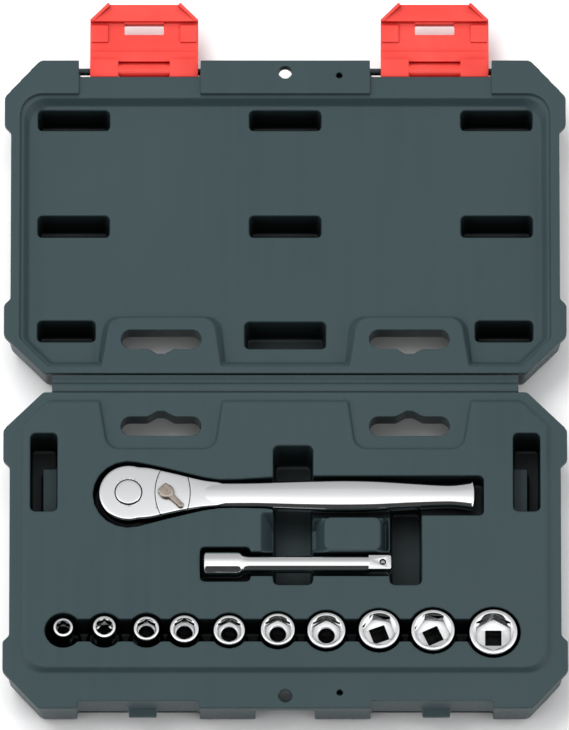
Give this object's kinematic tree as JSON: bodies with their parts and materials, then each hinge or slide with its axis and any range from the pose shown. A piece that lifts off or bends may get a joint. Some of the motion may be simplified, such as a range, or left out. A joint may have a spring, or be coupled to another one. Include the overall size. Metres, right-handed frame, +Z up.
{
  "type": "socket wrench set in case",
  "caption": "Quarter-inch-drive ratchet, extension bar and metric sockets in a hinged blow-moulded plastic case with two snap latches.",
  "frame": {"origin": "centre of the base half's underside", "axes": "+X along the hinge, +Y from the base to the opened lid, +Z up"},
  "size_m": [0.2284, 0.3114, 0.0308],
  "materials": {
    "case_plastic": "fine-grained moulded polyethylene",
    "latch_plastic": "smooth moulded polypropylene",
    "polished_chrome": "polished chrome plate",
    "nickel_lever": "satin nickel",
    "tool_steel": "ground tool steel"
  },
  "bodies": {
    "base": {"base_shell": "case_plastic", "living_hinge": "case_plastic"},
    "lid": {"lid_shell": "case_plastic"},
    "latch_left": {"latch_left": "latch_plastic"},
    "latch_right": {"latch_right": "latch_plastic"},
    "ratchet": {"ratchet_body": "polished_chrome", "ratchet_cover_plate": "polished_chrome", "drive_retaining_ring": "tool_steel", "pawl_detent_ball": "tool_steel", "pawl_detent_spring": "tool_steel"},
    "drive": {"drive_gear": "tool_steel", "release_spring": "tool_steel"},
    "release_button": {"quick_release_button": "polished_chrome"},
    "drive_ball": {"drive_detent_ball": "tool_steel"},
    "lever": {"reversing_lever": "nickel_lever"},
    "pawl": {"pawl": "tool_steel"},
    "extension": {"extension_bar": "polished_chrome", "extension_ball_spring": "tool_steel"},
    "extension_ball": {"extension_detent_ball": "tool_steel"},
    "socket_5mm": {"socket_5mm": "polished_chrome"},
    "socket_6mm": {"socket_6mm": "polished_chrome"},
    "socket_7mm": {"socket_7mm": "polished_chrome"},
    "socket_8mm": {"socket_8mm": "polished_chrome"},
    "socket_9mm": {"socket_9mm": "polished_chrome"},
    "socket_10mm": {"socket_10mm": "polished_chrome"},
    "socket_11mm": {"socket_11mm": "polished_chrome"},
    "socket_12mm": {"socket_12mm": "polished_chrome"},
    "socket_13mm": {"socket_13mm": "polished_chrome"},
    "socket_14mm": {"socket_14mm": "polished_chrome"}
  },
  "joints": [
    {"name": "lid_hinge", "type": "hinge", "parent": "base", "child": "lid", "pos_m": [0, 0.0709, 0.02565], "axis": [-1, 0, 0], "range_deg": [-180, 0]},
    {"name": "latch_left_hinge", "type": "hinge", "parent": "lid", "child": "latch_left", "pos_m": [-0.0575, 0.2111, 0.0165], "axis": [-1, 0, 0], "range_deg": [-90, 0]},
    {"name": "latch_right_hinge", "type": "hinge", "parent": "lid", "child": "latch_right", "pos_m": [0.0609, 0.2111, 0.0165], "axis": [-1, 0, 0], "range_deg": [-90, 0]},
    {"name": "ratchet_lift", "type": "slide", "parent": "base", "child": "ratchet", "axis": [0, 0, 1], "range_m": [0, 0.06]},
    {"name": "drive_spin", "type": "hinge", "parent": "ratchet", "child": "drive", "pos_m": [-0.0634, 0.0215, 0.02], "axis": [0, 0, 1], "continuous": true},
    {"name": "release_press", "type": "slide", "parent": "drive", "child": "release_button", "axis": [0, 0, 1], "range_m": [-0.002, 0], "stiffness_N_per_m": 300, "springref_m": 0.001, "deforming": ["release_spring"]},
    {"name": "drive_ball_slide", "type": "slide", "parent": "drive", "child": "drive_ball", "axis": [1, 0, 0], "range_m": [-0.00045, 0]},
    {"name": "lever_flip", "type": "hinge", "parent": "ratchet", "child": "lever", "pos_m": [-0.048, 0.0215, 0.0295], "axis": [0, 0, 1], "range_deg": [0, 90.01]},
    {"name": "pawl_rock", "type": "hinge", "parent": "ratchet", "child": "pawl", "pos_m": [-0.048, 0.0215, 0.0235], "axis": [0, 0, 1], "range_deg": [0, 16]},
    {"name": "extension_lift", "type": "slide", "parent": "base", "child": "extension", "axis": [0, 0, 1], "range_m": [0, 0.06]},
    {"name": "extension_ball_press", "type": "slide", "parent": "extension", "child": "extension_ball", "axis": [0, 0, 1], "range_m": [-0.0004, 0], "stiffness_N_per_m": 400, "springref_m": 0.0005, "deforming": ["extension_ball_spring"]},
    {"name": "socket_5mm_lift", "type": "slide", "parent": "base", "child": "socket_5mm", "axis": [0, 0, 1], "range_m": [0, 0.06]},
    {"name": "socket_6mm_lift", "type": "slide", "parent": "base", "child": "socket_6mm", "axis": [0, 0, 1], "range_m": [0, 0.06]},
    {"name": "socket_7mm_lift", "type": "slide", "parent": "base", "child": "socket_7mm", "axis": [0, 0, 1], "range_m": [0, 0.06]},
    {"name": "socket_8mm_lift", "type": "slide", "parent": "base", "child": "socket_8mm", "axis": [0, 0, 1], "range_m": [0, 0.06]},
    {"name": "socket_9mm_lift", "type": "slide", "parent": "base", "child": "socket_9mm", "axis": [0, 0, 1], "range_m": [0, 0.06]},
    {"name": "socket_10mm_lift", "type": "slide", "parent": "base", "child": "socket_10mm", "axis": [0, 0, 1], "range_m": [0, 0.06]},
    {"name": "socket_11mm_lift", "type": "slide", "parent": "base", "child": "socket_11mm", "axis": [0, 0, 1], "range_m": [0, 0.06]},
    {"name": "socket_12mm_lift", "type": "slide", "parent": "base", "child": "socket_12mm", "axis": [0, 0, 1], "range_m": [0, 0.06]},
    {"name": "socket_13mm_lift", "type": "slide", "parent": "base", "child": "socket_13mm", "axis": [0, 0, 1], "range_m": [0, 0.06]},
    {"name": "socket_14mm_lift", "type": "slide", "parent": "base", "child": "socket_14mm", "axis": [0, 0, 1], "range_m": [0, 0.06]}
  ],
  "couplings": [
    {"joint": "drive_ball_slide", "follows": "release_press", "ratio": 0.225},
    {"joint": "lever_flip", "follows": "pawl_rock", "ratio": 5.625}
  ]
}
